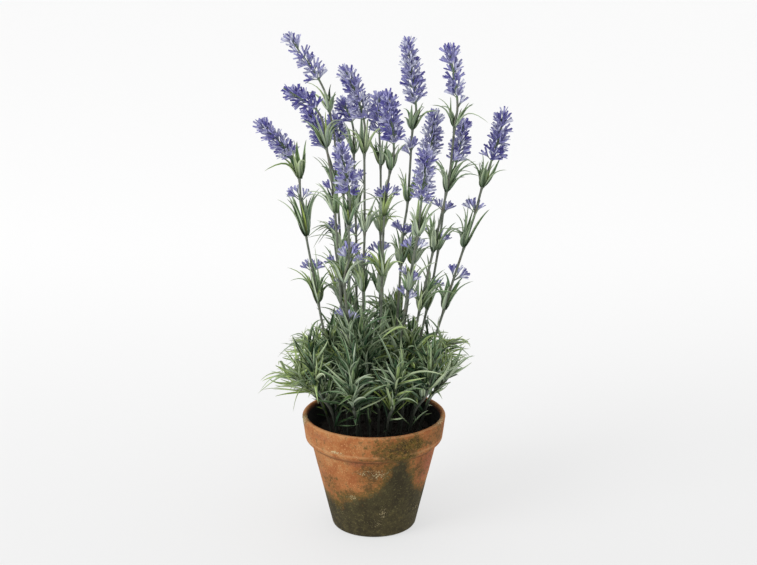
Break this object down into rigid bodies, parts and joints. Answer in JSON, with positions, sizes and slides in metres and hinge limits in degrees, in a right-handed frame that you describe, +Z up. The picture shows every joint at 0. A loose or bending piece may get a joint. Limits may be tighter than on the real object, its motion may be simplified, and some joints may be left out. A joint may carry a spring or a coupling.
{
  "type": "potted lavender",
  "caption": "Lavender plant with upright violet flower spikes over a low mound of narrow grey-green leaves, standing in an aged terracotta pot.",
  "frame": {"origin": "middle of the pot's flat underside", "axes": "+Z up along the pot's axis, +X to the right and +Y away in the view from the front"},
  "size_m": [0.2223, 0.2053, 0.4501],
  "materials": {
    "terracotta": "unglazed, matte, weathered, with dark algae low down and moss and lime on the rim",
    "soil": "rough dark potting soil",
    "stem_and_leaf": "satin grey-green",
    "floret": "matte violet-blue",
    "low_foliage": "satin grey-green"
  },
  "bodies": {
    "root": {"pot": "terracotta", "soil": "soil", "flower_stem_01": "stem_and_leaf", "flower_stem_02": "stem_and_leaf", "flower_stem_03": "stem_and_leaf", "flower_stem_04": "stem_and_leaf", "flower_stem_05": "stem_and_leaf", "flower_stem_06": "stem_and_leaf", "flower_stem_07": "stem_and_leaf", "flower_stem_08": "stem_and_leaf", "flower_stem_09": "stem_and_leaf", "flower_stem_10": "stem_and_leaf", "flower_stem_11": "stem_and_leaf", "flower_stem_12": "stem_and_leaf", "flower_stem_13": "stem_and_leaf", "flower_stem_14": "stem_and_leaf", "flower_stem_15": "stem_and_leaf", "flower_stem_16": "stem_and_leaf", "spike_01": "floret", "spike_02": "floret", "spike_03": "floret", "spike_04": "floret", "spike_05": "floret", "spike_06": "floret", "spike_07": "floret", "spike_08": "floret", "spike_09": "floret", "spike_10": "floret", "spike_11": "floret", "spike_12": "floret", "spike_13": "floret", "spike_14": "floret", "spike_15": "floret", "spike_16": "floret", "spray_01": "low_foliage", "spray_02": "low_foliage", "spray_03": "low_foliage", "spray_04": "low_foliage", "spray_05": "low_foliage", "spray_06": "low_foliage", "spray_07": "low_foliage", "spray_08": "low_foliage", "spray_09": "low_foliage", "spray_10": "low_foliage", "spray_11": "low_foliage", "spray_12": "low_foliage", "spray_13": "low_foliage", "spray_14": "low_foliage", "spray_15": "low_foliage", "spray_16": "low_foliage"}
  },
  "joints": []
}
